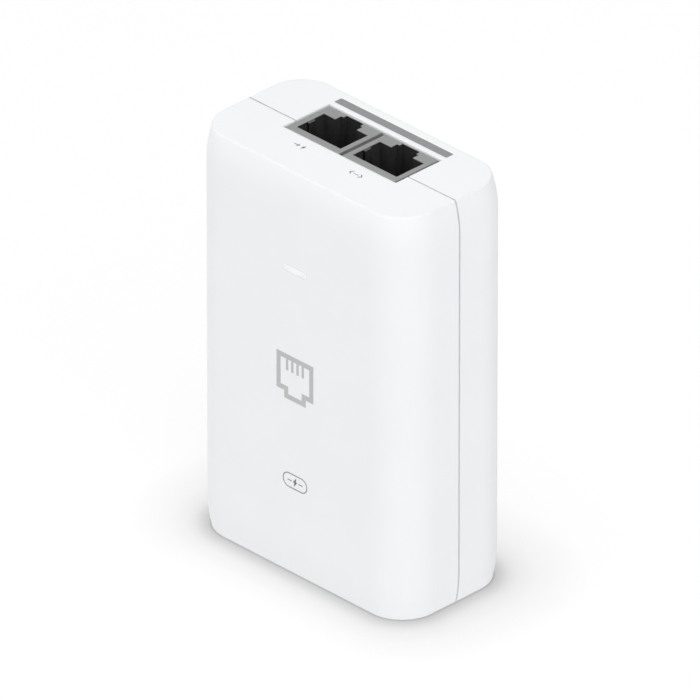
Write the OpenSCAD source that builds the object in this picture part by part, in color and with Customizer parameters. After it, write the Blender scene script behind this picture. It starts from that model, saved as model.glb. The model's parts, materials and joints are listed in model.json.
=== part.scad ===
// Two-port power-over-Ethernet injector: a standing, palm-sized mains adapter in two shells.
// The casing stands on z = 0. x = 0 and y = 0 are its middle planes, and y = 0 is the seam.
// The two network ports open upwards, the status light faces -Y and the mains inlet opens down.

/* [Casing] */
// Width across the side walls
body_w = 61.5; // [61:0.5:64]
// Depth from front to back
body_d = 32.5; // [32:0.5:34]
// Height of the standing casing
body_h = 93.2; // [93:0.1:96]
// Plan radius of the upright corners
corner_r = 9.3; // [8.5:0.1:9.5]
// Thickness of the casing wall
wall = 2; // [1.8:0.1:2.2]
// Height of the band that curves in towards each end face
crown_h = 7.5; // [6:0.5:9]
// Radius of that curve at the top, seen from the side
crown_r = 23.5; // [22:0.5:34]
// Radius of that curve at the base
foot_r = 34; // [22:0.5:36]
// Chamfer around the end faces
edge_break = 0.1; // [0.1:0.1:0.5]
// Gap that shows between the two shells
seam_gap = 0.25; // [0.2:0.05:0.4]

/* [Ports] */
// Distance between the centres of the two ports
port_pitch = 16; // [15.9:0.1:16.4]
// Width of one port's metal shield
port_w = 15.8; // [15.5:0.1:15.8]
// Height of a port above the circuit board
port_d = 12.8; // [12.6:0.1:12.9]
// Length of a port along its plug's path
port_len = 18; // [16:0.5:18]
// Depth of the port faces below the top of the casing
port_recess = 0.2; // [0:0.1:0.6]
// Width of the plug opening
mouth_w = 12.5; // [12:0.1:12.6]
// Height of the plug opening, without the latch notch
mouth_d = 7.7; // [7.5:0.05:7.8]

/* [Top stripe] */
// Length of the grey stripe behind the ports
stripe_w = 32.1; // [20:0.1:36]
// Width of the stripe
stripe_d = 2.05; // [1:0.05:2.2]

/* [Status light] */
// Width of the light bar
light_w = 6.5; // [4:0.5:7]
// Height of the light bar
light_h = 1.1; // [0.8:0.1:1.4]
// Height of the light bar's centre above the base
light_z = 71.2; // [71:0.1:71.6]

/* [Mains inlet] */
// Width of the inlet body
inlet_w = 20.4; // [20:0.1:21]
// Depth of the inlet body, front to back
inlet_d = 16.6; // [16:0.1:16.8]
// Length of the inlet body
inlet_len = 18.6; // [18:0.1:19]
// Diameter of a contact pin
pin_dia = 2.4; // [2.2:0.1:2.6]
// Distance between the line and neutral pins
pin_pitch = 10; // [9.6:0.1:10.4]

/* [Circuit board] */
// Width of the board
board_w = 50; // [49:0.5:50.5]
// Thickness of the board
board_t = 1.6; // [1.4:0.1:1.6]
// Distance between the left and right board screws
screw_pitch_x = 43; // [42:0.5:43.5]

/* [Hidden] */

$fn = 64;
skin = 0.01;             // tiny overshoot that keeps a cut from ending flush with a face
assembly_gap = 0.1;      // clearance between a fitted piece and its window

// Casing
// how far the walls have come in at the end faces, to a hundredth so that the pieces match
crown_in = round(100 * (crown_r - sqrt(crown_r * crown_r - crown_h * crown_h))) / 100;
foot_in = round(100 * (foot_r - sqrt(foot_r * foot_r - crown_h * crown_h))) / 100;
lip_in = wall / 2;       // depth of the seam step below the outer skin
lip_gap = 0.1;           // clearance between the tongue and its step
lip_len = 1.5;           // how far the rear shell's tongue reaches into the front shell

// Ports
port_y0 = -3.5;
port_y1 = port_y0 + port_d;
port_z1 = body_h - port_recess;
port_z0 = port_z1 - port_len;
side_gap = 0.18;         // dark gap between a shield and the side of its window
end_gap = 0.08;          // the same in front of and behind it
sheet = 0.2;             // thickness of the shield metal
bend_r = 0.5;            // outer radius of its bends
mouth_y0 = port_y0 + 2;
mouth_y1 = mouth_y0 + mouth_d;
cavity_depth = 13;       // how deep a plug goes
latch_w = 6.15;          // first step of the latch notch
latch_y = mouth_y1 + 1.7;
catch_w = 4.8;           // second, narrower step of the notch
catch_y = mouth_y1 + 2.65;
finger_y0 = mouth_y0 + 3.1;
finger_w = 1.8;          // width of a shield's grounding finger
finger_len = 6.5;
wire_count = 8;
wire_pitch = 1.016;
wire_w = 0.45;
wire_t = 0.3;
wire_slope = 25;         // slope of a relaxed contact wire into the cavity
wire_len = 7.7;
fold_r = 0.85;           // mean radius of the fold where a wire turns back into the cavity
roof_y = port_y0 + 0.95; // centre line of the wires along the roof of the port
fold_z = port_z1 - 2.5;
fold_gap = 0.12;         // cut between the fixed lead and the moving wire
row_z0 = port_z0 + 1.2;  // the two staggered rows of leads at the board
row_step = 1.78;

// Board, behind the ports
board_y0 = port_y1 + assembly_gap;
board_y1 = board_y0 + board_t;
board_z0 = 3.5;
board_z1 = body_h - 2.5;
screw_z0 = 9;
screw_z1 = body_h - 7;
screw_r = 1;             // self-tapping board screw
pilot_r = screw_r + 0.05;
boss_r = 2.6;

// Stripe
stripe_t = 0.2;
stripe_r = 0.3;          // its round corners
stripe_y0 = port_y1 + 1.5;

// Inlet
inlet_recess = 0.4;
inlet_z1 = inlet_recess + inlet_len;
inlet_base = 4.6;        // thickness of the inlet's floor, which holds the pins
lobe_r = 3.6;
lobe_y = 3.2;            // line and neutral sit this far to the front, earth this far to the back
pin_points = [[-pin_pitch / 2, -lobe_y], [pin_pitch / 2, -lobe_y], [0, lobe_y]];

// Component rows on the board, counted upwards from the inlet
filter_z = 27.5;
choke_z = 43;
transformer_z = 61;
magnetics_z = 72.2;
output_cap_z = 78.6;
side_x = 20.5;           // left and right columns

// Line choke: a ring that lies parallel to the board
choke_x = -14.5;
choke_y = board_y0 - 5.2;
ring_in = 3.8;
ring_out = 6.4;
ring_half = 3;

// Transformer: core with a round middle leg along Y
core_y0 = -9.8;
core_y1 = 7.2;
core_wall = 3;
window_r = 8.2;
leg_r = 3.5;
bobbin_gap = 0.1;

// Power devices: tab, its screw hole and the plate it is screwed to
device_z = transformer_z - 2;
device_tab_t = 1.3;
device_tab_y = -8.2;
device_hole_y = device_tab_y + 2.7;
plate_t = 1.5;

// ---------------------------------------------------------------- helpers

// Right half of an upright section: straight, then curving in along both crowns
module wall_outline(half, inset, low, high) {
    arc_r = crown_r - inset;
    foot_arc_r = foot_r - inset;
    translate([0, crown_h]) square([half, body_h - 2 * crown_h]);
    intersection() {
        translate([half - foot_arc_r, crown_h]) circle(r = foot_arc_r, $fn = 128);
        translate([0, low]) square([half, crown_h - low]);
    }
    intersection() {
        translate([half - arc_r, body_h - crown_h]) circle(r = arc_r, $fn = 128);
        translate([0, body_h - crown_h]) square([half, high - body_h + crown_h]);
    }
}

// The same half section with its two outer corners chamfered
module broken_outline(half, inset, low, high, chamfer) {
    edge = half - crown_in;
    foot_edge = half - foot_in;
    reach = 1;
    difference() {
        wall_outline(half, inset, low, high);
        if (chamfer > 0) {
            polygon([[edge - chamfer - reach, high + reach], [edge + reach, high + reach],
                     [edge + reach, high - chamfer - reach]]);
            polygon([[foot_edge - chamfer - reach, low - reach], [foot_edge + reach, low - reach],
                     [foot_edge + reach, low + chamfer + reach]]);
        }
    }
}

// Solid casing shape, shrunk on every wall by inset, between two heights
module casing_form(inset, low, high, chamfer = 0) {
    half_w = body_w / 2 - inset;
    half_d = body_d / 2 - inset;
    r = corner_r - inset;
    rotate([90, 0, 90]) linear_extrude(2 * (half_w - r), center = true)
        for (side = [0, 1]) mirror([side, 0]) broken_outline(half_d, inset, low, high, chamfer);
    rotate([90, 0, 0]) linear_extrude(2 * (half_d - r), center = true)
        for (side = [0, 1]) mirror([side, 0]) broken_outline(half_w, inset, low, high, chamfer);
    for (turn = [0:3]) {
        across = (turn == 0 || turn == 3) ? 1 : -1;
        along = turn < 2 ? 1 : -1;
        translate([across * (half_w - r), along * (half_d - r), 0]) rotate([0, 0, 90 * turn])
            rotate_extrude(angle = 90) broken_outline(r, inset, low, high, chamfer);
    }
}

// Everything between two depths
module slab(y0, y1) {
    translate([-body_w, y0, -1]) cube([2 * body_w, y1 - y0, body_h + 2]);
}

// Box from its lowest corner to its highest
module block(low, high) {
    translate(low) cube(high - low);
}

// Cylinder along +Y
module rod_y(r, y0, y1) {
    translate([0, y0, 0]) rotate([-90, 0, 0]) cylinder(r = r, h = y1 - y0);
}

// Rectangle from its lowest corner, with round corners
module rounded_rect(size, r) {
    translate([r, 0]) square([size[0] - 2 * r, size[1]]);
    translate([0, r]) square([size[0], size[1] - 2 * r]);
    for (cx = [0, 1], cy = [0, 1])
        translate([cx ? size[0] - r : r, cy ? size[1] - r : r])
            intersection() {
                circle(r = r);
                translate([cx ? 0 : -r, cy ? 0 : -r]) square(r);
            }
}

// Upright bar with round edges along Z
module rounded_bar(low, high, r) {
    translate(low) linear_extrude(high[2] - low[2])
        rounded_rect([high[0] - low[0], high[1] - low[1]], r);
}

// Bar with round edges along Y
module rounded_bar_y(low, high, r) {
    translate([low[0], high[1], low[2]]) rotate([90, 0, 0]) linear_extrude(high[1] - low[1])
        rounded_rect([high[0] - low[0], high[2] - low[2]], r);
}

// Electrolytic can that stands on the board at x, z, with its crimp groove and bevelled rim
module can(x, z, r, len) {
    groove = r * 0.08;
    bevel = r * 0.12;
    stand_off = 0.4;
    crimp = 2;               // where the groove starts, and the length of each of its steps
    step = 0.4;
    dish = 0.2;
    translate([x, board_y0 - stand_off, z]) rotate([90, 0, 0]) rotate_extrude()
        polygon([[0, 0], [r - bevel, 0], [r, bevel], [r, crimp], [r - groove, crimp + step],
                 [r - groove, crimp + 2 * step], [r, crimp + 3 * step], [r, len - bevel],
                 [r - bevel, len], [r * 0.8, len], [r * 0.78, len - dish], [0, len - dish]]);
    for (side = [-1, 1])
        translate([x + side * r * 0.5, 0, z]) rod_y(0.35, board_y0 - stand_off, board_y0);
}

// Dipped disc on two leads, standing off the board at x, z
module disc_component(x, z, r, t) {
    stand_off = 3;
    middle_y = board_y0 - stand_off - r;
    bevel = t * 0.25;
    translate([x, middle_y, z - t / 2]) rotate_extrude()
        polygon([[0, 0], [r - bevel, 0], [r, bevel], [r, t - bevel], [r - bevel, t], [0, t]]);
    for (side = [-1, 1])
        translate([x + side * r * 0.5, 0, z]) rod_y(0.4, middle_y + r * 0.7, board_y0);
}

// Three-leg power device with its tab flat against a plate; dir is +1 when the plate is at +X
module power_device(x, z, dir) {
    body_t = 4.4;
    half_w = 5;
    split_y = -2;
    body_y = 6.4;
    leg_in = 2.4;
    leg_half = [0.3, 0.4];
    leg_pitch = 2.54;
    near = min(x, x - dir * device_tab_t);
    difference() {
        block([near, device_tab_y, z - half_w],
              [near + device_tab_t, split_y + skin, z + half_w]);
        translate([near - skin, device_hole_y, z]) rotate([0, 90, 0])
            cylinder(r = 1.7, h = device_tab_t + 2 * skin);
    }
    body_near = min(x, x - dir * body_t);
    block([body_near, split_y, z - half_w], [body_near + body_t, body_y, z + half_w]);
    for (leg = [-1:1])
        block([x - dir * leg_in - leg_half[0], body_y - skin, z + leg * leg_pitch - leg_half[1]],
              [x - dir * leg_in + leg_half[0], board_y0, z + leg * leg_pitch + leg_half[1]]);
}

// Upright aluminium plate with outward fins and a foot; dir is +1 on the right-hand side
module heatsink(dir) {
    fin_t = 1;
    fin_out = 2.2;
    fin_pitch = 4.2;
    low_z = transformer_z - 9.5;
    high_z = transformer_z + 6;
    top_y = -10;
    mirror([dir < 0 ? 1 : 0, 0, 0]) difference() {
        union() {
            block([side_x, top_y, low_z], [side_x + plate_t, board_y0, high_z]);
            for (fin = [0:3])
                block([side_x + plate_t - skin, top_y + fin_pitch * fin, low_z],
                      [side_x + plate_t + fin_out, top_y + fin_pitch * fin + fin_t, high_z]);
        }
        translate([side_x - skin, device_hole_y, device_z]) rotate([0, 90, 0])
            cylinder(r = 1.6, h = plate_t + 4 * skin);
    }
}

// Surface-mount body with gull legs along both long edges; face is +1 behind the board
module chip(x, z, size, legs, face) {
    plane = face > 0 ? board_y1 : board_y0;
    lift = 0.15;
    leg_half = 0.2;
    foot_t = 0.2;
    foot_len = 1;
    shin_h = 0.8;
    shin_out = 0.3;
    root = 0.1;
    pitch = size[0] / legs;
    low_y = face > 0 ? plane + lift : plane - lift - size[1];
    block([x - size[0] / 2, low_y, z - size[2] / 2],
          [x + size[0] / 2, low_y + size[1], z + size[2] / 2]);
    for (leg = [0:legs - 1], side = [-1, 1]) {
        leg_x = x - size[0] / 2 + pitch * (leg + 0.5);
        edge = z + side * size[2] / 2;
        foot_low = face > 0 ? plane : plane - foot_t;
        shin_low = face > 0 ? plane : plane - shin_h;
        block([leg_x - leg_half, foot_low, min(edge, edge + side * foot_len)],
              [leg_x + leg_half, foot_low + foot_t, max(edge, edge + side * foot_len)]);
        block([leg_x - leg_half, shin_low, min(edge - side * root, edge + side * shin_out)],
              [leg_x + leg_half, shin_low + shin_h, max(edge - side * root, edge + side * shin_out)]);
    }
}

// ---------------------------------------------------------------- casing

// Window in the top for the two ports, through both shells
module port_window() {
    reach = port_pitch / 2 + port_w / 2 + side_gap;
    block([-reach, port_y0 - end_gap, body_h - 2 * wall],
          [reach, port_y1 + end_gap, body_h + 1]);
}

// Window in the base for the mains inlet, through both shells
module inlet_window() {
    block([-inlet_w / 2 - assembly_gap, -inlet_d / 2 - assembly_gap, -1],
          [inlet_w / 2 + assembly_gap, inlet_d / 2 + assembly_gap, 2 * wall]);
}

module light_window() {
    slack = assembly_gap / 2;
    block([-light_w / 2 - slack, -body_d, light_z - light_h / 2 - slack],
          [light_w / 2 + slack, -body_d / 2 + 2 * wall, light_z + light_h / 2 + slack]);
}

module cavity() {
    casing_form(wall, wall, body_h - wall);
}

module front_shell() {
    color("whitesmoke") difference() {
        intersection() {
            casing_form(0, 0, body_h, edge_break);
            slab(-body_d, -seam_gap / 2);
        }
        cavity();
        intersection() {
            casing_form(lip_in, lip_in, body_h - lip_in);
            slab(-lip_len - lip_gap, seam_gap);
        }
        port_window();
        inlet_window();
        light_window();
    }
}

module rear_shell() {
    color("whitesmoke") difference() {
        union() {
            difference() {
                union() {
                    intersection() {
                        casing_form(0, 0, body_h, edge_break);
                        slab(seam_gap / 2, body_d);
                    }
                    intersection() {
                        casing_form(lip_in + lip_gap, lip_in + lip_gap, body_h - lip_in - lip_gap);
                        slab(-lip_len, 1);
                    }
                }
                cavity();
            }
            for (side = [-1, 1], z = [screw_z0, screw_z1])
                translate([side * screw_pitch_x / 2, 0, z])
                    rod_y(boss_r, board_y1, body_d / 2 - wall / 2);
        }
        for (side = [-1, 1], z = [screw_z0, screw_z1])
            translate([side * screw_pitch_x / 2, 0, z])
                rod_y(pilot_r, board_y1 - 1, body_d / 2 - wall * 0.8);
        port_window();
        inlet_window();
        stripe_form(body_h + 1);
    }
}

// The stripe's outline from its pocket's floor up to the given height
module stripe_form(top) {
    rounded_bar([-stripe_w / 2, stripe_y0, body_h - stripe_t],
                [stripe_w / 2, stripe_y0 + stripe_d, top], stripe_r);
}

// Grey strip let into the top, flush with it
module port_stripe() {
    color("gray") stripe_form(body_h);
}

// Clear bar that brings the board's lamp to the front, with a collar behind the front wall
module light_pipe() {
    collar_w = light_w + 2.5;
    collar_h = light_h + 1.6;
    collar_t = 1;
    collar_y = -body_d / 2 + wall + 0.1;
    color("white") {
        block([-light_w / 2, -body_d / 2, light_z - light_h / 2],
              [light_w / 2, board_y0 - 1.3, light_z + light_h / 2]);
        block([-collar_w / 2, collar_y, light_z - collar_h / 2],
              [collar_w / 2, collar_y + collar_t, light_z + collar_h / 2]);
    }
}

// White surface-mount lamp on the board, behind the light pipe
module status_led() {
    base = [3.2, 0.6, 1.6];
    lens = [2.2, 0.5, 1.1];
    color("ivory") {
        block([-base[0] / 2, board_y0 - base[1], light_z - base[2] / 2],
              [base[0] / 2, board_y0, light_z + base[2] / 2]);
        block([-lens[0] / 2, board_y0 - base[1] - lens[1], light_z - lens[2] / 2],
              [lens[0] / 2, board_y0 - base[1] + skin, light_z + lens[2] / 2]);
    }
}

// ---------------------------------------------------------------- ports

// Space that the plug and its latch need, down to the given height
module plug_space(low) {
    top = port_z1 + 1;
    block([-mouth_w / 2, mouth_y0, low], [mouth_w / 2, mouth_y1, top]);
    block([-latch_w / 2, mouth_y1 - skin, low], [latch_w / 2, latch_y, top]);
    block([-catch_w / 2, latch_y - skin, low], [catch_w / 2, catch_y, top]);
}

// Spring finger that hangs from the shield's edge into the cavity, on the +X side
module ground_finger() {
    edge = mouth_w / 2;
    crest = [0.25, 0.35];     // the finger leans in, is level for a moment and then hangs down
    crest_drop = 0.25;
    bulge = 0.58;
    bulge_drop = finger_len * 0.55;
    tip = 0.08;
    translate([0, finger_y0 + finger_w, port_z1]) rotate([90, 0, 0]) linear_extrude(finger_w)
        polygon([[edge + skin, 0], [edge - crest[0], -crest_drop], [edge - crest[1], -crest_drop],
                 [edge - bulge, -bulge_drop], [edge - tip, -finger_len],
                 [edge + sheet - tip, -finger_len], [edge + sheet - bulge, -bulge_drop],
                 [edge + sheet - crest[1], -crest_drop - sheet],
                 [edge + skin, -crest_drop - sheet]]);
}

// Upright box with an open base whose edges are bends of radius r
module bent_box(low, high, r) {
    size = high - low;
    intersection() {
        rounded_bar(low, high, r);
        translate([low[0] - 1, low[1], low[2] - 2 * r]) rotate([90, 0, 90])
            linear_extrude(size[0] + 2) rounded_rect([size[1], size[2] + 2 * r], r);
        translate([low[0], high[1] + 1, low[2] - 2 * r]) rotate([90, 0, 0])
            linear_extrude(size[1] + 2) rounded_rect([size[0], size[2] + 2 * r], r);
    }
}

module jack_shield(x) {
    foot_w = 1.6;
    foot_z = port_z0 + 9;
    color("silver") translate([x, 0, 0]) {
        difference() {
            bent_box([-port_w / 2, port_y0, port_z0], [port_w / 2, port_y1, port_z1], bend_r);
            bent_box([-port_w / 2 + sheet, port_y0 + sheet, port_z0 - 3],
                     [port_w / 2 - sheet, port_y1 - sheet, port_z1 - sheet], bend_r - sheet);
            plug_space(port_z1 - 1);
            block([-port_w / 2 + 2.5, port_y1 - 2 * sheet, port_z0 - 1],
                  [port_w / 2 - 2.5, port_y1 + 1, port_z0 + 5]);
        }
        for (side = [0, 1]) mirror([side, 0, 0]) {
            ground_finger();
            block([port_w / 2 - sheet, port_y1 - 0.6, foot_z],
                  [port_w / 2, board_y0, foot_z + foot_w]);
        }
    }
}

module jack_housing(x) {
    slack = 0.05;
    half_w = port_w / 2 - sheet - slack;
    low_y = port_y0 + sheet + slack;
    high_y = port_y1 - sheet - slack;
    wires_half = wire_count * wire_pitch / 2;
    groove_side = 0.3;
    groove_depth = 0.55;
    color("#1c1c1e") translate([x, 0, 0]) difference() {
        bent_box([-half_w, low_y, port_z0 + 0.2], [half_w, high_y, port_z1 - sheet - slack],
                 bend_r);
        plug_space(port_z1 - cavity_depth);
        for (side = [-1, 1])
            block([side * mouth_w / 2 - groove_depth, finger_y0 - groove_side,
                   port_z1 - finger_len - 0.6],
                  [side * mouth_w / 2 + groove_depth, finger_y0 + finger_w + groove_side,
                   port_z1]);
        // roof slot, window at the fold and recess at the rear for the wires
        block([-wires_half, roof_y - wire_t / 2 - 0.1, port_z0 - 1],
              [wires_half, roof_y + wire_t / 2 + 0.1, fold_z]);
        block([-wires_half, roof_y - wire_t / 2 - 0.1, fold_z - 0.9],
              [wires_half, mouth_y0 + skin, fold_z + 1.35]);
        block([-wires_half, roof_y - wire_t / 2 - 0.1, port_z0 - 1],
              [wires_half, port_y1, row_z0 + row_step + wire_t / 2 + 0.15]);
    }
}

// Moving ends of the eight contact wires, relaxed
module jack_contacts(x) {
    color("gold") for (i = [0:wire_count - 1])
        translate([x + (i - (wire_count - 1) / 2) * wire_pitch, roof_y + 2 * fold_r,
                   fold_z - fold_gap])
            rotate([wire_slope, 0, 0])
                translate([-wire_w / 2, -wire_t / 2, -wire_len]) cube([wire_w, wire_t, wire_len]);
}

// Fixed part of each contact wire: board row, rear run, roof run and the fold at the mouth
module jack_leads(x) {
    half_t = wire_t / 2;
    color("goldenrod") for (i = [0:wire_count - 1]) {
        row_z = row_z0 + (i % 2) * row_step;
        translate([x + (i - (wire_count - 1) / 2) * wire_pitch - wire_w / 2, 0, 0]) {
            block([0, roof_y - half_t, row_z - half_t], [wire_w, board_y0, row_z + half_t]);
            block([0, roof_y - half_t, row_z], [wire_w, roof_y + half_t, fold_z]);
            translate([0, roof_y + fold_r, fold_z]) rotate([90, 0, 90])
                rotate_extrude(angle = 180)
                    translate([fold_r - half_t, 0]) square([wire_t, wire_w]);
        }
    }
}

module poe_jack_shield() { jack_shield(-port_pitch / 2); }
module poe_jack_housing() { jack_housing(-port_pitch / 2); }
module poe_jack_contacts() { jack_contacts(-port_pitch / 2); }
module poe_jack_leads() { jack_leads(-port_pitch / 2); }
module data_jack_shield() { jack_shield(port_pitch / 2); }
module data_jack_housing() { jack_housing(port_pitch / 2); }
module data_jack_contacts() { jack_contacts(port_pitch / 2); }
module data_jack_leads() { jack_leads(port_pitch / 2); }

// ---------------------------------------------------------------- board and inlet

module main_board() {
    hole_r = screw_r + 0.2;
    color("darkgreen") difference() {
        translate([0, board_y1, 0]) rotate([90, 0, 0]) linear_extrude(board_t)
            translate([-board_w / 2, board_z0]) rounded_rect([board_w, board_z1 - board_z0], 1.5);
        for (side = [-1, 1], z = [screw_z0, screw_z1])
            translate([side * screw_pitch_x / 2, 0, z]) rod_y(hole_r, board_y0 - 1, board_y1 + 1);
    }
}

// Four pan-head self-tapping screws with cross recesses
module board_screws() {
    head_r = 2;
    head_t = 1.4;
    tip = body_d / 2 - wall - 0.2;
    slot_w = 0.5;
    slot_len = 2.2;
    color("silver") for (side = [-1, 1], z = [screw_z0, screw_z1])
        translate([side * screw_pitch_x / 2, 0, z]) difference() {
            union() {
                rod_y(screw_r, board_y0 - skin, tip);
                rod_y(head_r, board_y0 - head_t, board_y0);
            }
            for (turn = [0, 90]) rotate([0, turn, 0])
                block([-slot_len / 2, board_y0 - head_t - 1, -slot_w / 2],
                      [slot_len / 2, board_y0 - head_t + 0.8, slot_w / 2]);
        }
}

// Three-lobed inlet body, held behind the base by its flange
module inlet_housing() {
    flange = 1.1;
    flange_y = 0.9;
    floor_z = inlet_z1 - inlet_base;
    web = 2.6;
    pin_hole_r = pin_dia / 2 - 0.2;
    color("#202022") difference() {
        union() {
            rounded_bar([-inlet_w / 2, -inlet_d / 2, inlet_recess],
                        [inlet_w / 2, inlet_d / 2, inlet_z1], 1.5);
            rounded_bar([-inlet_w / 2 - flange, -inlet_d / 2 - flange_y, wall + 0.1],
                        [inlet_w / 2 + flange, inlet_d / 2 + flange_y, wall + 2], 1.5);
        }
        for (p = pin_points) translate([p[0], p[1], inlet_recess - 1])
            cylinder(r = lobe_r, h = floor_z - inlet_recess + 1);
        block([-pin_pitch / 2, -lobe_y - web, inlet_recess - 1],
              [pin_pitch / 2, -lobe_y + web, floor_z]);
        block([-web, -lobe_y, inlet_recess - 1], [web, lobe_y, floor_z]);
        for (p = pin_points) translate([p[0], p[1], floor_z - 1])
            cylinder(r = pin_hole_r + 0.02, h = inlet_base + 2);
    }
}

// Line, neutral and earth pins, each with a flat tail that turns back to the board
module inlet_pins() {
    tip_z = inlet_recess + 2;
    floor_z = inlet_z1 - inlet_base;
    taper = 0.5;
    r = pin_dia / 2;
    shank_r = r - 0.2;
    tail_w = 1.6;
    tail_t = 0.8;
    tail_z = inlet_z1 + 1.2;
    color("silver") for (p = pin_points) translate([p[0], 0, 0]) {
        translate([0, p[1], 0]) {
            translate([0, 0, tip_z]) cylinder(r1 = r - taper, r2 = r, h = taper);
            translate([0, 0, tip_z + taper]) cylinder(r = r, h = floor_z - 0.2 - tip_z - taper);
            translate([0, 0, floor_z - 0.2 - skin]) cylinder(r = shank_r, h = inlet_base + 1.6);
        }
        block([-tail_w / 2, p[1], tail_z - tail_t / 2], [tail_w / 2, board_y0, tail_z + tail_t / 2]);
    }
}

// Plastic sheet between the mains parts and the front shell
module insulation_sheet() {
    film_t = 0.25;
    film_y = -body_d / 2 + wall + 0.35;
    film_w = 40;
    low_z = 22;
    high_z = 67.5;
    color("lightyellow")
        translate([0, film_y + film_t, 0]) rotate([90, 0, 0]) linear_extrude(film_t)
            translate([-film_w / 2, low_z]) rounded_rect([film_w, high_z - low_z], 2);
}

// ---------------------------------------------------------------- mains side

module fuse() {
    r = 4.2;
    tall = 7.5;
    lift = 0.5;
    color("saddlebrown") {
        translate([-side_x, board_y0 - lift, filter_z]) rotate([90, 0, 0]) rotate_extrude()
            polygon([[0, 0], [r, 0], [r, tall - 0.6], [r - 0.6, tall], [0, tall]]);
        for (side = [-1, 1])
            translate([-side_x + side * 2.54, 0, filter_z]) rod_y(0.3, board_y0 - lift, board_y0);
    }
}

module varistor() {
    color("royalblue") disc_component(-8.5, filter_z, 5, 4);
}

module x_capacitor() {
    x = 6;
    half_w = 6.5;
    half_t = 3;
    tall = 12;
    lift = 0.4;
    color("gold") {
        rounded_bar_y([x - half_w, board_y0 - lift - tall, filter_z - half_t],
                      [x + half_w, board_y0 - lift, filter_z + half_t], 0.6);
        for (side = [-1, 1])
            translate([x + side * 5, 0, filter_z]) rod_y(0.4, board_y0 - lift, board_y0);
    }
}

module y_capacitor() {
    color("steelblue") disc_component(side_x, filter_z, 4, 3.6);
}

module line_choke_core() {
    color("darkslategray") translate([choke_x, choke_y, choke_z]) rotate([90, 0, 0])
        rotate_extrude()
            translate([ring_in, -ring_half]) square([ring_out - ring_in, 2 * ring_half]);
}

// Two windings on opposite sides of the ring
module line_choke_windings() {
    build = 0.9;
    gap = 0.05;
    spread = 130;
    color("orangered") translate([choke_x, choke_y, choke_z]) rotate([90, 0, 0])
        for (side = [0, 180]) rotate([0, 0, side - spread / 2])
            rotate_extrude(angle = spread) difference() {
                translate([ring_in - build, -ring_half - build])
                    square([ring_out - ring_in + 2 * build, 2 * (ring_half + build)]);
                translate([ring_in - gap, -ring_half - gap])
                    square([ring_out - ring_in + 2 * gap, 2 * (ring_half + gap)]);
            }
}

// Flat four-leg bridge that stands on its legs
module bridge_rectifier() {
    x = -1.2;
    half_w = 6.4;
    half_t = 1.7;
    tall = 9;
    lift = 3;
    notch = 1.2;
    leg_half = [0.3, 0.5];
    leg_pitch = 3.4;
    color("#26262a") {
        difference() {
            block([x - half_t, board_y0 - lift - tall, choke_z - half_w],
                  [x + half_t, board_y0 - lift, choke_z + half_w]);
            translate([x - half_t - 1, board_y0 - lift - tall, choke_z + half_w])
                rotate([45, 0, 0]) cube([2 * half_t + 2, notch, notch], center = false);
        }
        for (leg = [-1.5:1.5])
            block([x - leg_half[0], board_y0 - lift - skin, choke_z + leg * leg_pitch - leg_half[1]],
                  [x + leg_half[0], board_y0, choke_z + leg * leg_pitch + leg_half[1]]);
    }
}

module bulk_capacitor() {
    color("#22252b") can(14, choke_z, 8, 21);
}

// ---------------------------------------------------------------- transformer

module transformer_core() {
    half_w = 11;
    half_t = 4.5;
    color("#3a3a3d") translate([0, 0, transformer_z]) difference() {
        block([-half_w, core_y0, -half_t], [half_w, core_y1, half_t]);
        difference() {
            rod_y(window_r, core_y0 + core_wall, core_y1 - core_wall);
            rod_y(leg_r, core_y0, core_y1);
        }
    }
}

// Tube around the middle leg, two flanges, and rails with pins down to the board
module transformer_bobbin() {
    tube_r = leg_r + bobbin_gap + 0.7;
    flange_r = window_r - 0.15;
    flange_t = 0.8;
    y0 = core_y0 + core_wall + bobbin_gap;
    y1 = core_y1 - core_wall - bobbin_gap;
    rail_z = 5.6;
    rail_t = 1.6;
    rail_half_w = 6;
    pin_step = 2.5;
    color("#141416") translate([0, 0, transformer_z]) {
        difference() {
            union() {
                rod_y(tube_r, y0, y1);
                rod_y(flange_r, y0, y0 + flange_t);
                rod_y(flange_r, y1 - flange_t, y1);
            }
            rod_y(leg_r + bobbin_gap, y0 - 1, y1 + 1);
        }
        for (side = [-1, 1]) {
            block([-rail_half_w, y1 - flange_t, side > 0 ? rail_z : -rail_z - rail_t],
                  [rail_half_w, core_y1 + 0.6, side > 0 ? rail_z + rail_t : -rail_z]);
            for (pin = [-2:2])
                translate([pin * pin_step, 0, side * (rail_z + rail_t / 2)])
                    rod_y(0.35, core_y1 + 0.5, board_y0);
        }
    }
}

module transformer_windings() {
    tube_r = leg_r + bobbin_gap + 0.7;
    y0 = core_y0 + core_wall + bobbin_gap + 0.8;
    y1 = core_y1 - core_wall - bobbin_gap - 0.8;
    color("goldenrod") translate([0, 0, transformer_z]) difference() {
        rod_y(window_r - 0.6, y0 + 0.05, y1 - 0.05);
        rod_y(tube_r + 0.05, y0 - 1, y1 + 1);
    }
}

// ---------------------------------------------------------------- power devices

module primary_heatsink() { color("lightgray") heatsink(-1); }
module output_heatsink() { color("lightgray") heatsink(1); }
module switching_transistor() { color("#222224") power_device(-side_x, device_z, -1); }
module output_rectifier() { color("#222224") power_device(side_x, device_z, 1); }

// One screw through each device's tab into its heatsink
module heatsink_screws() {
    head_r = 2.4;
    head_t = 1.6;
    color("silver") for (side = [0, 1]) mirror([side, 0, 0])
        translate([side_x - device_tab_t, device_hole_y, device_z]) rotate([0, 90, 0]) {
            translate([0, 0, -head_t]) cylinder(r = head_r, h = head_t);
            translate([0, 0, -skin]) cylinder(r = 1.5, h = device_tab_t + plate_t - 0.1);
        }
}

module output_capacitors() {
    color("#2b3a55") for (side = [-1, 1]) can(side * side_x, output_cap_z, 4, 16);
}

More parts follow.
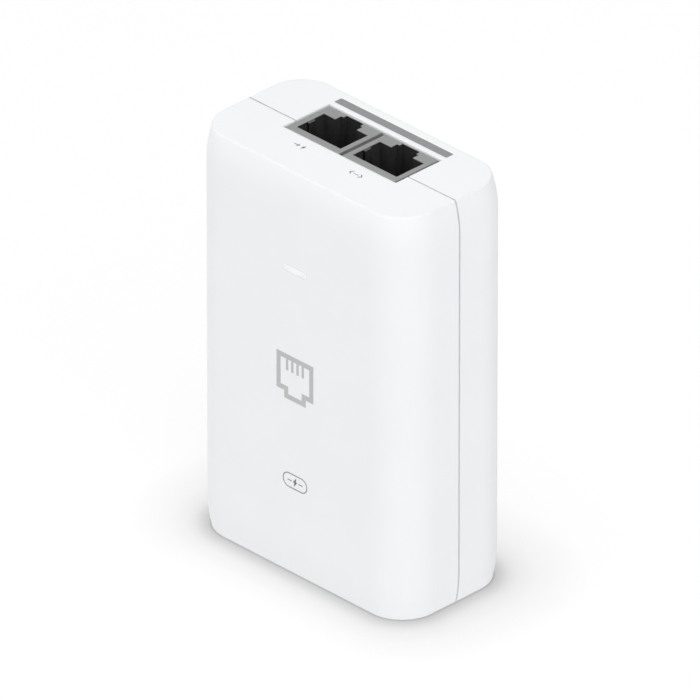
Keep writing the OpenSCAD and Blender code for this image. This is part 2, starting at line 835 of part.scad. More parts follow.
// ---------------------------------------------------------------- signal parts

module optocoupler() {
    size = [4.6, 3.2, 6.2];
    lift = 0.6;
    leg_x = 1.27;
    leg_half = [0.3, 0.15];
    leg_tall = 2;
    x = -19.4;
    z = 70.3;
    color("ivory") {
        block([x - size[0] / 2, board_y0 - lift - size[1], z - size[2] / 2],
              [x + size[0] / 2, board_y0 - lift, z + size[2] / 2]);
        for (side = [-1, 1], leg = [-1, 1])
            translate([x + leg * leg_x, 0, z + side * (size[2] / 2 - 0.1)])
                block([-leg_half[0], board_y0 - leg_tall, -leg_half[1]],
                      [leg_half[0], board_y0, leg_half[1]]);
    }
}

module controller_chips() {
    color("#202024") {
        chip(-12, transformer_z, [5, 1.5, 3.9], 4, 1);
        chip(11, transformer_z + 4, [6, 1.2, 5], 8, 1);
        chip(0, choke_z, [5, 1.5, 3.9], 4, 1);
    }
}

module poe_magnetics() {
    color("#1e1e20") chip(-9.4, magnetics_z, [10, 4.2, 3], 8, -1);
}

module data_magnetics() {
    color("#1e1e20") chip(9.4, magnetics_z, [10, 4.2, 3], 8, -1);
}

front_shell();
rear_shell();
port_stripe();
light_pipe();
status_led();
poe_jack_shield();
poe_jack_housing();
poe_jack_contacts();
poe_jack_leads();
data_jack_shield();
data_jack_housing();
data_jack_contacts();
data_jack_leads();
main_board();
board_screws();
inlet_housing();
inlet_pins();
insulation_sheet();
fuse();
varistor();
x_capacitor();
y_capacitor();
line_choke_core();
line_choke_windings();
bridge_rectifier();
bulk_capacitor();
transformer_core();
transformer_bobbin();
transformer_windings();
primary_heatsink();
switching_transistor();
output_heatsink();
output_rectifier();
heatsink_screws();
output_capacitors();
optocoupler();
controller_chips();
poe_magnetics();
data_magnetics();
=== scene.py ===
"""Two-port PoE injector: materials, printed marks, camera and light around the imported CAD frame."""
import sys
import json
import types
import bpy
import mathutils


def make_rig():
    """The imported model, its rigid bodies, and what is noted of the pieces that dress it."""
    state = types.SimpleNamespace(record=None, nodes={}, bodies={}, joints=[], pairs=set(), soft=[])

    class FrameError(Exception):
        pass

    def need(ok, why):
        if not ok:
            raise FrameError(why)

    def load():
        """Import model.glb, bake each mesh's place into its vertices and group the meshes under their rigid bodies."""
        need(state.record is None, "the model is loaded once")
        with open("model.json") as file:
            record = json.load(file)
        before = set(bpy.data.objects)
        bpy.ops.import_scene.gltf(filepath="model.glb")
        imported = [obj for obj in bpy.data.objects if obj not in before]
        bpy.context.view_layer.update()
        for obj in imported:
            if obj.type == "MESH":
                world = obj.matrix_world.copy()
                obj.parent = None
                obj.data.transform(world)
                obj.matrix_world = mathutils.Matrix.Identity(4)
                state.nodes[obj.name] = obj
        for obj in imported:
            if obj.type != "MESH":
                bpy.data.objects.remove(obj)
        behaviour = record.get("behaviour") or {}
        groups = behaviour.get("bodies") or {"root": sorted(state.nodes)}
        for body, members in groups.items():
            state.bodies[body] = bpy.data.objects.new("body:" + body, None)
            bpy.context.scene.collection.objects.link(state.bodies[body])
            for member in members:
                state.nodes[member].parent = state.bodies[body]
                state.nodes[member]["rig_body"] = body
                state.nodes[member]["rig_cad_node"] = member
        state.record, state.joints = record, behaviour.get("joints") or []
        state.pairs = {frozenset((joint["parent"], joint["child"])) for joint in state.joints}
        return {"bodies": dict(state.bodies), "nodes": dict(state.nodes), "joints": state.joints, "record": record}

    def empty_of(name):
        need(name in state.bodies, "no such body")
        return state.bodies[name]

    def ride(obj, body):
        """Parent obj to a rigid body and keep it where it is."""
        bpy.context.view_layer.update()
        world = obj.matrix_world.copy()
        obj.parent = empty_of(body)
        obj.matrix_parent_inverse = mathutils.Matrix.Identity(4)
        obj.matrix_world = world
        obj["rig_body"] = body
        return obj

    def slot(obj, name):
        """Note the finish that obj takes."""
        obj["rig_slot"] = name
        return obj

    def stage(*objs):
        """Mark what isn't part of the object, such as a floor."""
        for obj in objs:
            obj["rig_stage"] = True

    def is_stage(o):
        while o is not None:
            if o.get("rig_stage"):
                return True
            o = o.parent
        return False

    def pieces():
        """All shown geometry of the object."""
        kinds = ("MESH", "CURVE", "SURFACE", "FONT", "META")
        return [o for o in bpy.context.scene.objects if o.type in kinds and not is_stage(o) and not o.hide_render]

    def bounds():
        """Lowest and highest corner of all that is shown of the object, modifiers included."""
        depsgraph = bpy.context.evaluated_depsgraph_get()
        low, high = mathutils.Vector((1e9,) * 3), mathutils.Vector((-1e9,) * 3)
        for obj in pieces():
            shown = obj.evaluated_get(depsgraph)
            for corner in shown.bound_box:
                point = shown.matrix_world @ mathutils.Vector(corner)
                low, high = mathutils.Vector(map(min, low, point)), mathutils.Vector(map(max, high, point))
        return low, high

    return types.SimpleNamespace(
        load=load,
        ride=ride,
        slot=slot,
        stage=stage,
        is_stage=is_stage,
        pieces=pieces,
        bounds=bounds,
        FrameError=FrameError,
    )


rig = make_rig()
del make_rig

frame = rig.load()

import json
import math

import bmesh
import bpy
from mathutils import Vector

MM = 0.001
cad_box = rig.bounds()
low, high = cad_box
FRONT_Y = low.y
TOP_Z = high.z

# ---------------------------------------------------------------- camera

AZIMUTH = math.radians(45.371)
ELEVATION = math.radians(30.098)
DISTANCE = 5285 * MM
VIEW_WIDTH = 141.25 * MM            # what the picture spans at the object
AIM = Vector((0, 0, 45 * MM))
AIM_RIGHT = -0.407 * MM
AIM_UP = 1.206 * MM


def make_camera():
    back = Vector((math.sin(AZIMUTH) * math.cos(ELEVATION),
                   -math.cos(AZIMUTH) * math.cos(ELEVATION), math.sin(ELEVATION)))
    right = Vector((math.cos(AZIMUTH), math.sin(AZIMUTH), 0))
    up = back.cross(right)
    data = bpy.data.cameras.new("camera")
    data.sensor_width = 36
    data.lens = data.sensor_width * DISTANCE / VIEW_WIDTH
    data.clip_start = 0.1
    data.clip_end = 100
    cam = bpy.data.objects.new("camera", data)
    bpy.context.scene.collection.objects.link(cam)
    cam.location = AIM + back * DISTANCE + right * AIM_RIGHT + up * AIM_UP
    cam.rotation_mode = "QUATERNION"
    cam.rotation_quaternion = (-back).to_track_quat("-Z", "Y")
    bpy.context.scene.camera = cam


# ---------------------------------------------------------------- node helpers

def new_material(name, color, roughness, metallic=0.0, **sockets):
    """A principled material with its uniform values on the shader's own sockets."""
    mat = bpy.data.materials.new(name)
    mat.use_nodes = True
    shader = mat.node_tree.nodes["Principled BSDF"]
    shader.inputs["Base Color"].default_value = (*color, 1)
    shader.inputs["Roughness"].default_value = roughness
    shader.inputs["Metallic"].default_value = metallic
    for key, value in sockets.items():
        shader.inputs[key.replace("_", " ")].default_value = value
    return mat


def add(mat, kind, **values):
    """A new node; values set its properties, or its inputs where the key names one."""
    node = mat.node_tree.nodes.new(kind)
    for key, value in values.items():
        socket = key.replace("_", " ")
        if hasattr(node, key):
            setattr(node, key, value)
        else:
            node.inputs[socket].default_value = value
    return node


def link(mat, source, target):
    mat.node_tree.links.new(source, target)


def place(mat, scale=(1, 1, 1)):
    """Object coordinates in metres, stretched by scale."""
    coords = add(mat, "ShaderNodeTexCoord")
    mapping = add(mat, "ShaderNodeMapping")
    mapping.inputs["Scale"].default_value = scale
    link(mat, coords.outputs["Object"], mapping.inputs["Vector"])
    return mapping.outputs["Vector"]


def noise(mat, scale, detail=3.0, stretch=(1, 1, 1), roughness=0.5):
    node = add(mat, "ShaderNodeTexNoise")
    node.inputs["Scale"].default_value = scale
    node.inputs["Detail"].default_value = detail
    node.inputs["Roughness"].default_value = roughness
    link(mat, place(mat, stretch), node.inputs["Vector"])
    return node.outputs["Fac"]


def ramp(mat, source, stops):
    """A colour ramp over source; stops are (position, colour or grey)."""
    node = add(mat, "ShaderNodeValToRGB")
    elements = node.color_ramp.elements
    while len(elements) < len(stops):
        elements.new(0.5)
    for element, (position, color) in zip(elements, stops):
        element.position = position
        element.color = (*color, 1) if isinstance(color, tuple) else (color, color, color, 1)
    link(mat, source, node.inputs["Fac"])
    return node.outputs["Color"]


def shader_of(mat):
    return mat.node_tree.nodes["Principled BSDF"]


def tint(mat, source, dark, light, start=0.3, end=0.7):
    """Base colour varies between two near colours."""
    link(mat, ramp(mat, source, [(start, dark), (end, light)]), shader_of(mat).inputs["Base Color"])


def vary_roughness(mat, source, least, most):
    link(mat, ramp(mat, source, [(0.3, least), (0.7, most)]), shader_of(mat).inputs["Roughness"])


def bump(mat, source, depth, strength=1.0, after=None):
    """Surface relief of depth metres, on top of the normal that the node after gives."""
    node = add(mat, "ShaderNodeBump")
    node.inputs["Distance"].default_value = depth
    node.inputs["Strength"].default_value = strength
    link(mat, source, node.inputs["Height"])
    if after:
        link(mat, after.outputs["Normal"], node.inputs["Normal"])
    link(mat, node.outputs["Normal"], shader_of(mat).inputs["Normal"])


def bands(mat, scale, direction="Z", distortion=0.0, profile="SIN"):
    """Parallel bands, such as brushing or wire turns; scale is in waves per metre."""
    node = add(mat, "ShaderNodeTexWave", wave_type="BANDS", bands_direction=direction,
               wave_profile=profile)
    node.inputs["Scale"].default_value = scale
    node.inputs["Distortion"].default_value = distortion
    link(mat, place(mat), node.inputs["Vector"])
    return node.outputs["Fac"]


# ---------------------------------------------------------------- materials

def grey(level):
    return (level, level, level)


# the light bar: the middle and the half sizes of its lit patch, how strongly its sides glow (painted light
# that lights the gap around the bar), and the shares of that glow at the edge and in the middle of its front face
PIPE_Z = 71.2 * MM
PATCH_HALF = (3.6 * MM, 10 * MM, 1.1 * MM)
PIPE_GLOW = 0.6
PIPE_EDGE = 0.04
PIPE_MIDDLE = 0.13


def casing_white():
    """Fine matte moulded polycarbonate, very slightly cool."""
    mat = new_material("casing_white", (0.853, 0.866, 0.882), 0.42, Specular_IOR_Level=0.4)
    tint(mat, noise(mat, 60, 2), (0.845, 0.859, 0.875), (0.861, 0.873, 0.888))
    vary_roughness(mat, noise(mat, 220, 3), 0.39, 0.46)
    soften = add(mat, "ShaderNodeBevel", samples=8)
    soften.inputs["Radius"].default_value = 0.45 * MM
    bump(mat, noise(mat, 5200, 2, roughness=0.6), 0.012 * MM, 0.35, soften)
    return mat


def stripe_grey():
    mat = new_material("stripe_grey", (0.264, 0.274, 0.271), 0.5, Specular_IOR_Level=0.35)
    tint(mat, noise(mat, 900, 3), (0.254, 0.264, 0.261), (0.274, 0.284, 0.281))
    vary_roughness(mat, noise(mat, 1800, 3), 0.45, 0.58)
    bump(mat, noise(mat, 6000, 2), 0.008 * MM, 0.4)
    return mat


def light_pipe():
    """Diffusing acrylic, softly lit from behind and brightest in the middle of its face; its sides glow far more
    strongly, painted light that fills the gap around the bar.
    """
    mat = new_material("light_pipe", (0.853, 0.866, 0.882), 0.42,
                       Emission_Strength=PIPE_GLOW)
    coords = add(mat, "ShaderNodeTexCoord")
    ball = add(mat, "ShaderNodeMapping", vector_type="TEXTURE")
    ball.inputs["Location"].default_value = (0, FRONT_Y, PIPE_Z)
    ball.inputs["Scale"].default_value = PATCH_HALF
    fade = add(mat, "ShaderNodeTexGradient", gradient_type="QUADRATIC_SPHERE")
    link(mat, coords.outputs["Object"], ball.inputs["Vector"])
    link(mat, ball.outputs["Vector"], fade.inputs["Vector"])
    face = ramp(mat, fade.outputs["Fac"], [(0.0, PIPE_EDGE), (0.5, PIPE_MIDDLE)])
    across = add(mat, "ShaderNodeSeparateXYZ")
    link(mat, coords.outputs["Normal"], across.inputs["Vector"])
    frontal = add(mat, "ShaderNodeMath", operation="ABSOLUTE")
    link(mat, across.outputs["Y"], frontal.inputs[0])
    # painted light: where the surface turns sideways the glow is full white, so the gap around the bar is lit
    glow = add(mat, "ShaderNodeMix", data_type="RGBA")
    glow.inputs["A"].default_value = (1, 1, 1, 1)
    link(mat, frontal.outputs["Value"], glow.inputs["Factor"])
    link(mat, face, glow.inputs["B"])
    link(mat, glow.outputs["Result"], shader_of(mat).inputs["Emission Color"])
    vary_roughness(mat, noise(mat, 1500, 2), 0.36, 0.46)
    bump(mat, noise(mat, 3000, 2), 0.005 * MM, 0.3)
    return mat


def led_body():
    mat = new_material("led_body", (0.86, 0.85, 0.78), 0.35)
    tint(mat, noise(mat, 2500, 2), (0.84, 0.83, 0.74), (0.9, 0.89, 0.83))
    return mat


def shield_metal():
    """Nickel-plated steel with fine rolling lines."""
    mat = new_material("shield_metal", (0.49, 0.495, 0.485), 0.32, metallic=1.0)
    lines = noise(mat, 900, 2, stretch=(0.3, 2.5, 2.5))
    tint(mat, lines, (0.477, 0.482, 0.473), (0.503, 0.508, 0.498))
    vary_roughness(mat, noise(mat, 700, 4), 0.29, 0.35)
    soften = add(mat, "ShaderNodeBevel", samples=6)
    soften.inputs["Radius"].default_value = 0.1 * MM
    bump(mat, lines, 0.0015 * MM, 0.2, soften)
    return mat


def port_black():
    mat = new_material("port_black", (0.034, 0.034, 0.035), 0.5, Specular_IOR_Level=0.3)
    tint(mat, noise(mat, 1200, 3), (0.029, 0.029, 0.03), (0.04, 0.04, 0.041))
    vary_roughness(mat, noise(mat, 2200, 3), 0.48, 0.65)
    bump(mat, noise(mat, 5000, 2), 0.01 * MM, 0.5)
    return mat


def contact_gold():
    mat = new_material("contact_gold", (0.83, 0.58, 0.22), 0.32, metallic=1.0)
    tint(mat, noise(mat, 1500, 3), (0.78, 0.53, 0.2), (0.87, 0.63, 0.27))
    vary_roughness(mat, noise(mat, 2500, 3), 0.29, 0.36)
    return mat


def board_green():
    """Solder mask over a network of copper traces."""
    mat = new_material("board_green", (0.012, 0.09, 0.035), 0.3, Coat_Weight=0.3)
    cells = add(mat, "ShaderNodeTexVoronoi", feature="DISTANCE_TO_EDGE", distance="MANHATTAN")
    cells.inputs["Scale"].default_value = 230
    link(mat, place(mat), cells.inputs["Vector"])
    traces = ramp(mat, cells.outputs["Distance"],
                  [(0.03, (0.03, 0.2, 0.08)), (0.06, (0.010, 0.075, 0.03))])
    link(mat, traces, shader_of(mat).inputs["Base Color"])
    bump(mat, cells.outputs["Distance"], 0.02 * MM, 0.2)
    return mat


def screw_steel():
    mat = new_material("screw_steel", (0.62, 0.62, 0.63), 0.36, metallic=1.0)
    tint(mat, noise(mat, 900, 3), (0.57, 0.57, 0.58), (0.67, 0.67, 0.66))
    vary_roughness(mat, noise(mat, 1500, 3), 0.3, 0.42)
    return mat


def inlet_black():
    mat = new_material("inlet_black", (0.02, 0.02, 0.021), 0.5, Specular_IOR_Level=0.4)
    tint(mat, noise(mat, 500, 3), (0.016, 0.016, 0.017), (0.026, 0.026, 0.027))
    vary_roughness(mat, noise(mat, 900, 3), 0.42, 0.58)
    bump(mat, noise(mat, 3200, 3), 0.02 * MM, 0.5)
    return mat


def pin_metal():
    mat = new_material("pin_metal", (0.72, 0.71, 0.68), 0.2, metallic=1.0)
    lines = bands(mat, 3500, "Z", 2.0)
    tint(mat, lines, (0.69, 0.68, 0.65), (0.76, 0.75, 0.72))
    bump(mat, lines, 0.004 * MM, 0.3)
    return mat


def sheet_film():
    mat = new_material("sheet_film", (0.72, 0.7, 0.5), 0.35)
    tint(mat, noise(mat, 120, 3), (0.68, 0.66, 0.46), (0.76, 0.74, 0.56))
    vary_roughness(mat, noise(mat, 300, 3), 0.28, 0.42)
    return mat


def glossy_part(name, dark, light, roughness=0.25, grain=700):
    """Cast or dipped resin with a slightly uneven skin."""
    mat = new_material(name, light, roughness, Coat_Weight=0.2)
    tint(mat, noise(mat, grain, 3), dark, light)
    vary_roughness(mat, noise(mat, grain * 1.7, 3), roughness * 0.8, roughness * 1.4)
    bump(mat, noise(mat, grain * 0.5, 2), 0.03 * MM, 0.35)
    return mat


def fuse_brown():
    return glossy_part("fuse_brown", (0.035, 0.016, 0.008), (0.055, 0.026, 0.012), 0.3)


def dipped_blue():
    return glossy_part("dipped_blue", (0.02, 0.075, 0.28), (0.03, 0.1, 0.36), 0.22, 500)


def film_yellow():
    return glossy_part("film_yellow", (0.6, 0.38, 0.02), (0.7, 0.47, 0.03), 0.28)


def opto_white():
    return glossy_part("opto_white", (0.76, 0.75, 0.7), (0.83, 0.82, 0.77), 0.35)


def ferrite():
    """Dark sintered ceramic with pores."""
    mat = new_material("ferrite", (0.035, 0.035, 0.037), 0.6)
    tint(mat, noise(mat, 1600, 4), (0.022, 0.022, 0.023), (0.05, 0.05, 0.053))
    bump(mat, noise(mat, 3000, 4), 0.03 * MM, 0.5)
    return mat


def copper_wire():
    """Enamelled copper, wound turn beside turn, with painted shade in the grooves between turns."""
    mat = new_material("copper_wire", (0.45, 0.13, 0.04), 0.28, metallic=0.85)
    turns = bands(mat, 520, "X")
    # painted shade: the base colour darkens where the bands sink, in the grooves between turns
    tint(mat, turns, (0.17, 0.045, 0.015), (0.56, 0.18, 0.06), 0.05, 0.6)
    bump(mat, turns, 0.2 * MM, 0.9)
    return mat


def tape_amber():
    """Polyester tape wound around the transformer."""
    mat = new_material("tape_amber", (0.6, 0.34, 0.03), 0.3, Coat_Weight=0.3)
    edges = bands(mat, 160, "Y", 0.6)
    tint(mat, edges, (0.45, 0.24, 0.02), (0.65, 0.38, 0.04), 0.02, 0.25)
    bump(mat, edges, 0.05 * MM, 0.4)
    return mat


def epoxy_black():
    """Moulded epoxy, faintly speckled by its filler."""
    mat = new_material("epoxy_black", (0.02, 0.02, 0.022), 0.5)
    tint(mat, noise(mat, 4500, 3), (0.014, 0.014, 0.016), (0.032, 0.032, 0.034))
    vary_roughness(mat, noise(mat, 2000, 3), 0.42, 0.6)
    bump(mat, noise(mat, 6000, 2), 0.01 * MM, 0.5)
    return mat


def sleeve_dark():
    """Shrink sleeve on a can, with a lighter polarity band of dashes."""
    mat = new_material("sleeve_dark", (0.02, 0.025, 0.05), 0.25, Coat_Weight=0.3)
    dashes = bands(mat, 60, "Y", 0, "SAW")
    link(mat, ramp(mat, dashes, [(0.93, (0.018, 0.022, 0.045)), (0.95, (0.2, 0.22, 0.27))]),
         shader_of(mat).inputs["Base Color"])
    vary_roughness(mat, noise(mat, 500, 2), 0.2, 0.33)
    return mat


def bobbin_black():
    mat = new_material("bobbin_black", (0.015, 0.015, 0.015), 0.45)
    tint(mat, noise(mat, 800, 3), (0.011, 0.011, 0.011), (0.022, 0.022, 0.022))
    vary_roughness(mat, noise(mat, 1100, 3), 0.38, 0.52)
    return mat


def sink_aluminium():
    """Extruded aluminium with draw lines along its length."""
    mat = new_material("sink_aluminium", (0.7, 0.71, 0.72), 0.35, metallic=1.0)
    lines = noise(mat, 700, 3, stretch=(9, 9, 0.5))
    tint(mat, lines, (0.63, 0.64, 0.65), (0.75, 0.76, 0.77))
    bump(mat, lines, 0.01 * MM, 0.5)
    return mat


def print_ink(name, level):
    """Pad-printed ink, a little uneven."""
    mat = new_material(name, grey(level), 0.5, Specular_IOR_Level=0.35)
    tint(mat, noise(mat, 2600, 3), grey(level * 0.95), grey(min(level * 1.05, 1)))
    vary_roughness(mat, noise(mat, 3000, 2), 0.44, 0.58)
    return mat


def dress_nodes():
    """Every CAD node takes the material of its record slot; the function has the slot's name."""
    makers = {}
    for row in frame["record"]["subparts"]:
        slot = row["material_slot"]
        if slot not in makers:
            makers[slot] = globals()[slot]()
        node = frame["nodes"][row["node"]]
        node.data.materials.clear()
        node.data.materials.append(makers[slot])


# ---------------------------------------------------------------- printed marks

INK_ABOVE = 0.02 * MM               # how far the ink stands out of the casing, and reaches in
INK_BELOW = 0.02 * MM
MITRE_LIMIT = 0.35                  # keeps a sharp corner's mitre from growing long

# middles of the marks in mm: across and up on the front, across and back on the top
EMBLEM_AT = (0.1, 46.1)
BADGE_AT = (0.1, 22.1)
POWER_ICON_AT = (-8.0, -6.7)
DATA_ICON_AT = (8.0, -6.8)


def front_point(u, v, lift):
    return Vector((u * MM, FRONT_Y - lift, v * MM))


def top_point(u, v, lift):
    return Vector((u * MM, v * MM, TOP_Z + lift))


class Print:
    """A thin printed mark on one face of the casing, built from filled outlines and strokes in mm."""

    def __init__(self, name, plane, centre):
        self.name = name
        self.plane = plane
        self.centre = centre
        self.bm = bmesh.new()

    def point(self, x, y, lift):
        return self.plane(self.centre[0] + x, self.centre[1] + y, lift)

    def patch(self, outline):
        """A closed prism over an outline, counter-clockwise in the mark's own axes."""
        upper = [self.bm.verts.new(self.point(x, y, INK_ABOVE)) for x, y in outline]
        lower = [self.bm.verts.new(self.point(x, y, -INK_BELOW)) for x, y in outline]
        self.bm.faces.new(upper)
        self.bm.faces.new(lower[::-1])
        count = len(outline)
        for i in range(count):
            j = (i + 1) % count
            self.bm.faces.new([upper[i], lower[i], lower[j], upper[j]])

    def bar(self, x0, y0, x1, y1):
        self.patch([(x0, y0), (x1, y0), (x1, y1), (x0, y1)])

    def stroke(self, points, width, closed=False):
        """A ribbon of equal width along points, mitred at its corners, as one closed skin."""
        half = width / 2
        count = len(points)
        rows = []
        for i, p in enumerate(points):
            before = points[i - 1] if closed or i else None
            after = points[(i + 1) % count] if closed or i < count - 1 else None
            dirs = []
            if before is not None:
                dirs.append((Vector(p) - Vector(before)).normalized())
            if after is not None:
                dirs.append((Vector(after) - Vector(p)).normalized())
            mean = sum(dirs, Vector((0, 0))).normalized()
            normal = Vector((-mean.y, mean.x))
            straight = Vector((-dirs[0].y, dirs[0].x))
            reach = half / max(normal.dot(straight), MITRE_LIMIT)
            rows.append((Vector(p) + normal * reach, Vector(p) - normal * reach))
        rings = []
        for left, right in rows:
            rings.append([self.bm.verts.new(self.point(*right, -INK_BELOW)),
                          self.bm.verts.new(self.point(*right, INK_ABOVE)),
                          self.bm.verts.new(self.point(*left, INK_ABOVE)),
                          self.bm.verts.new(self.point(*left, -INK_BELOW))])
        spans = count if closed else count - 1
        for i in range(spans):
            a, b = rings[i], rings[(i + 1) % count]
            for k in range(4):
                self.bm.faces.new([a[k], b[k], b[(k + 1) % 4], a[(k + 1) % 4]])
        if not closed:
            self.bm.faces.new(rings[0])
            self.bm.faces.new(rings[-1][::-1])

    def dot(self, x, y, r, sides=16):
        self.patch([(x + r * math.cos(2 * math.pi * i / sides),
                     y + r * math.sin(2 * math.pi * i / sides)) for i in range(sides)])

    def bolt(self, x, y, size):
        """A plain lightning sign, the same when turned by half."""
        half = [(0.16, 0.52), (-0.30, -0.06), (-0.11, -0.06)]
        self.patch([(x + turn * size * u, y + turn * size * v)
                    for turn in (1, -1) for u, v in half])

    def arrow(self, tail, tip, y, head, width):
        """A chevron with its point at tip, and a shaft that fits its inner corner."""
        half, slope = width / 2, math.atan2(head[1], head[0])
        inner = tip - half / math.sin(slope)
        shoulder = inner - half / math.tan(slope)
        self.stroke([(tip - head[0], y + head[1]), (tip, y), (tip - head[0], y - head[1])], width)
        self.patch([(tail, y - half), (shoulder, y - half), (inner, y),
                    (shoulder, y + half), (tail, y + half)])

    def done(self, material):
        bmesh.ops.recalc_face_normals(self.bm, faces=self.bm.faces)
        mesh = bpy.data.meshes.new(self.name)
        self.bm.to_mesh(mesh)
        self.bm.free()
        obj = bpy.data.objects.new(self.name, mesh)
        bpy.context.scene.collection.objects.link(obj)
        mesh.materials.append(material)
        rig.slot(obj, "stripe_grey")
        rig.ride(obj, "root")


def emblem(material):
    """A plain network-port pictogram: stepped outline with four contact ticks."""
    line = 1.15
    half_w, top, shoulder = 4.7, 4.5, -3.0
    neck_half_w, foot = 2.5, -4.7
    ticks, tick_pitch, tick_half_w, tick_low = 4, 1.5, 0.33, 1.3
    mark = Print("print_emblem", front_point, EMBLEM_AT)
    mark.stroke([(-half_w, top), (-half_w, shoulder), (-neck_half_w, shoulder),
                 (-neck_half_w, foot), (neck_half_w, foot), (neck_half_w, shoulder),
                 (half_w, shoulder), (half_w, top)], line, closed=True)
    for i in range(ticks):
        x = (i - (ticks - 1) / 2) * tick_pitch
        mark.bar(x - tick_half_w, tick_low, x + tick_half_w, top - line / 2)
    mark.done(material)


def badge(material):
    """Pill outline around a lightning sign between two dashes."""
    half_w, half_h, line, steps = 3.4, 1.6, 0.2, 16
    bolt_size, dash_x, dash_half_w = 2.1, 1.55, 0.6
    mark = Print("print_badge", front_point, BADGE_AT)
    outline = []
    for side in (1, -1):
        for i in range(steps + 1):
            turn = math.pi * (i / steps - 0.5)
            outline.append((side * (half_w - half_h + half_h * math.cos(turn)),
                            side * half_h * math.sin(turn)))
    mark.stroke(outline, line, closed=True)
    mark.bolt(0, 0, bolt_size)
    for side in (-1, 1):
        mark.bar(side * dash_x - dash_half_w, -line / 2, side * dash_x + dash_half_w, line / 2)
    mark.done(material)


def port_icons(material):
    """Power sign beside the powered port, and a two-way data sign beside the other."""
    arrow_line, tail, tip, head = 0.16, -1.7, -0.25, (0.55, 0.45)
    bolt_x, bolt_size = 0.9, 1.4
    power = Print("print_icon_power", top_point, POWER_ICON_AT)
    power.arrow(tail, tip, 0, head, arrow_line)
    power.bolt(bolt_x, 0, bolt_size)
    power.done(material)

    line, point_x, open_x, open_y = 0.2, 1.65, 1.0, 0.62
    dots, dot_pitch, dot_r = 3, 0.5, 0.15
    data = Print("print_icon_data", top_point, DATA_ICON_AT)
    for side in (-1, 1):
        data.stroke([(side * open_x, open_y), (side * point_x, 0), (side * open_x, -open_y)], line)
    for i in range(dots):
        data.dot((i - (dots - 1) / 2) * dot_pitch, 0, dot_r)
    data.done(material)


# ---------------------------------------------------------------- floor and light

# azimuth and elevation in degrees, distance and size in metres, and power of each softbox
KEY = (68, 35, 1.2, 0.8, 3.4)
TOP = (10, 85, 1.2, 1.0, 7.0)
FILL = (-70, 20, 1.2, 0.8, 0.8)
TOP_COLOR = (1.0, 0.998, 0.975)

# brightness of the studio walls and of the flag; the flag's direction, and the angles from it
# between which the flag fades into the wall
WALL_LIGHT = 0.68
FLAG_LIGHT = 0.06
FLAG_CENTRE = (163, 46)
FLAG_INNER = 12
FLAG_OUTER = 50

# the casing's outline on the floor in mm: its sides come in a little at the base
FOOT_IN = 0.84
FOOT_CORNER = 9.3 - FOOT_IN
FOOT_HALF = (high.x / MM - FOOT_IN, high.y / MM - FOOT_IN)

# painted shade: how the floor's colour brightens with the distance from that outline in mm, a contact shadow painted
# into its glow
SHADE_REACH = 20
SHADE = [(0.25, 0.33), (0.55, 0.47), (1.6, 0.56), (3.5, 0.74), (5.2, 0.82), (9, 0.9), (20, 1.0)]
FLOOR_GLOW = 0.745
FLOOR_HALF = 30.0
FLOOR_DROP = 0.05 * MM              # keeps the floor just clear of the base


def footprint_distance(mat):
    """Distance from the casing's round-cornered outline on the floor, 0 to 1 over the reach, which sets the floor's
    painted shade.
    """
    def vector(operation, source, other=None):
        node = add(mat, "ShaderNodeVectorMath", operation=operation)
        link(mat, source, node.inputs[0])
        if other is not None:
            node.inputs[1].default_value = other
        return node

    coords = add(mat, "ShaderNodeTexCoord")
    mirrored = vector("ABSOLUTE", coords.outputs["Object"])
    straight = [(half - FOOT_CORNER) * MM for half in FOOT_HALF]
    beyond = vector("SUBTRACT", mirrored.outputs["Vector"], (*straight, 0))
    outside = vector("MAXIMUM", beyond.outputs["Vector"], (0, 0, 0))
    length = vector("LENGTH", outside.outputs["Vector"])
    span = add(mat, "ShaderNodeMapRange")
    span.inputs["From Min"].default_value = FOOT_CORNER * MM
    span.inputs["From Max"].default_value = (FOOT_CORNER + SHADE_REACH) * MM
    link(mat, length.outputs["Value"], span.inputs["Value"])
    return span.outputs["Result"]


def make_floor():
    """White floor that glows to a clean background, with a painted shade that darkens its glow softly near the
    casing's outline.
    """
    mesh = bpy.data.meshes.new("floor")
    corners = [(-1, -1), (1, -1), (1, 1), (-1, 1)]
    mesh.from_pydata([(x * FLOOR_HALF, y * FLOOR_HALF, 0) for x, y in corners],
                     [], [(0, 1, 2, 3)])
    floor = bpy.data.objects.new("floor", mesh)
    bpy.context.scene.collection.objects.link(floor)
    mat = new_material("floor_white", grey(0.25), 0.6, Specular_IOR_Level=0.1)
    # painted shade: camera rays see the glow darkened towards the outline, while light bouncing off the floor onto the
    # object sees it evenly white
    glow = ramp(mat, footprint_distance(mat), [(d / SHADE_REACH, level) for d, level in SHADE])
    seen = add(mat, "ShaderNodeLightPath")
    bounce = add(mat, "ShaderNodeMix", data_type="RGBA")
    bounce.inputs["A"].default_value = (1, 1, 1, 1)
    link(mat, seen.outputs["Is Camera Ray"], bounce.inputs["Factor"])
    link(mat, glow, bounce.inputs["B"])
    link(mat, bounce.outputs["Result"], shader_of(mat).inputs["Emission Color"])
    shader_of(mat).inputs["Emission Strength"].default_value = FLOOR_GLOW
    mesh.materials.append(mat)
    floor.location.z = low.z - FLOOR_DROP
    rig.stage(floor)


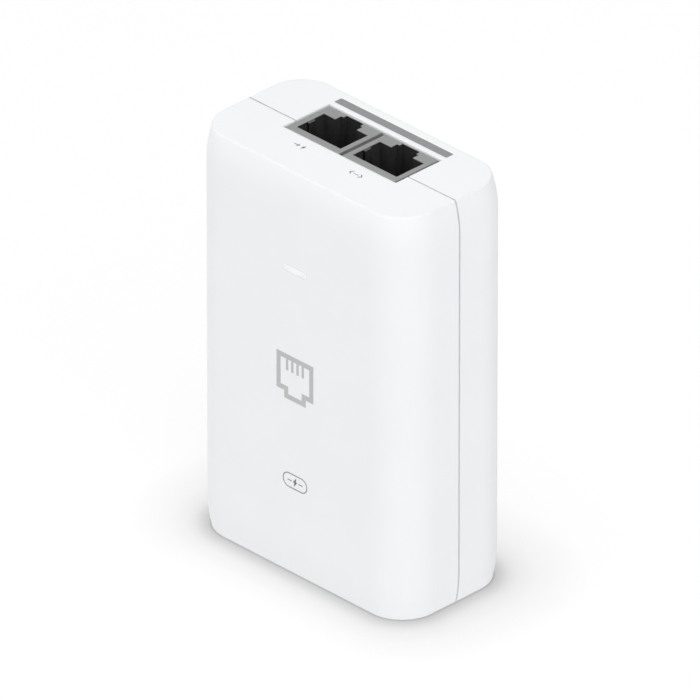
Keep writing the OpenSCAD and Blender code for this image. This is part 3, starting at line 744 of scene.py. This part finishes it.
def make_area(name, azimuth, elevation, distance, size, power, color=(1, 1, 1)):
    """Softbox that faces the object from the given direction."""
    back = toward(azimuth, elevation)
    data = bpy.data.lights.new(name, "AREA")
    data.color = color
    data.shape = "SQUARE"
    data.size = size
    data.energy = power
    lamp = bpy.data.objects.new(name, data)
    bpy.context.scene.collection.objects.link(lamp)
    lamp.location = AIM + back * distance
    lamp.rotation_mode = "QUATERNION"
    lamp.rotation_quaternion = (-back).to_track_quat("-Z", "Y")


def toward(azimuth, elevation):
    """Unit vector at the given angles in degrees, measured as the camera's are."""
    az, el = math.radians(azimuth), math.radians(elevation)
    return Vector((math.sin(az) * math.cos(el), -math.cos(az) * math.cos(el), math.sin(el)))


def make_world():
    """Even studio walls with one dark flag behind the object to its right."""
    world = bpy.data.worlds.new("studio")
    bpy.context.scene.world = world
    world.use_nodes = True
    nodes, links = world.node_tree.nodes, world.node_tree.links
    coords = nodes.new("ShaderNodeTexCoord")
    dot = nodes.new("ShaderNodeVectorMath")
    dot.operation = "DOT_PRODUCT"
    dot.inputs[1].default_value = toward(*FLAG_CENTRE)
    fade = nodes.new("ShaderNodeMapRange")
    fade.interpolation_type = "SMOOTHSTEP"
    fade.inputs["From Min"].default_value = math.cos(math.radians(FLAG_OUTER))
    fade.inputs["From Max"].default_value = math.cos(math.radians(FLAG_INNER))
    fade.inputs["To Min"].default_value = WALL_LIGHT
    fade.inputs["To Max"].default_value = FLAG_LIGHT
    back = nodes["Background"]
    back.inputs["Color"].default_value = (0.985, 0.99, 1.0, 1)
    links.new(coords.outputs["Generated"], dot.inputs[0])
    links.new(dot.outputs["Value"], fade.inputs["Value"])
    links.new(fade.outputs["Result"], back.inputs["Strength"])


def make_light():
    """Three softboxes in an even studio, shown with the plain transform so that white stays white."""
    bpy.context.scene.view_settings.view_transform = "Standard"
    make_world()
    make_area("key", *KEY)
    make_area("top", *TOP, color=TOP_COLOR)
    make_area("fill", *FILL)


make_camera()
make_floor()
make_light()
dress_nodes()
emblem(print_ink("ink_light", 0.5))
badge(print_ink("ink_badge", 0.17))
port_icons(print_ink("ink_icon", 0.12))

shown_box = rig.bounds()
with open("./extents.json", "w") as size_file:
    json.dump({"cad": [list(c) for c in cad_box], "visual": [list(c) for c in shown_box]},
              size_file)
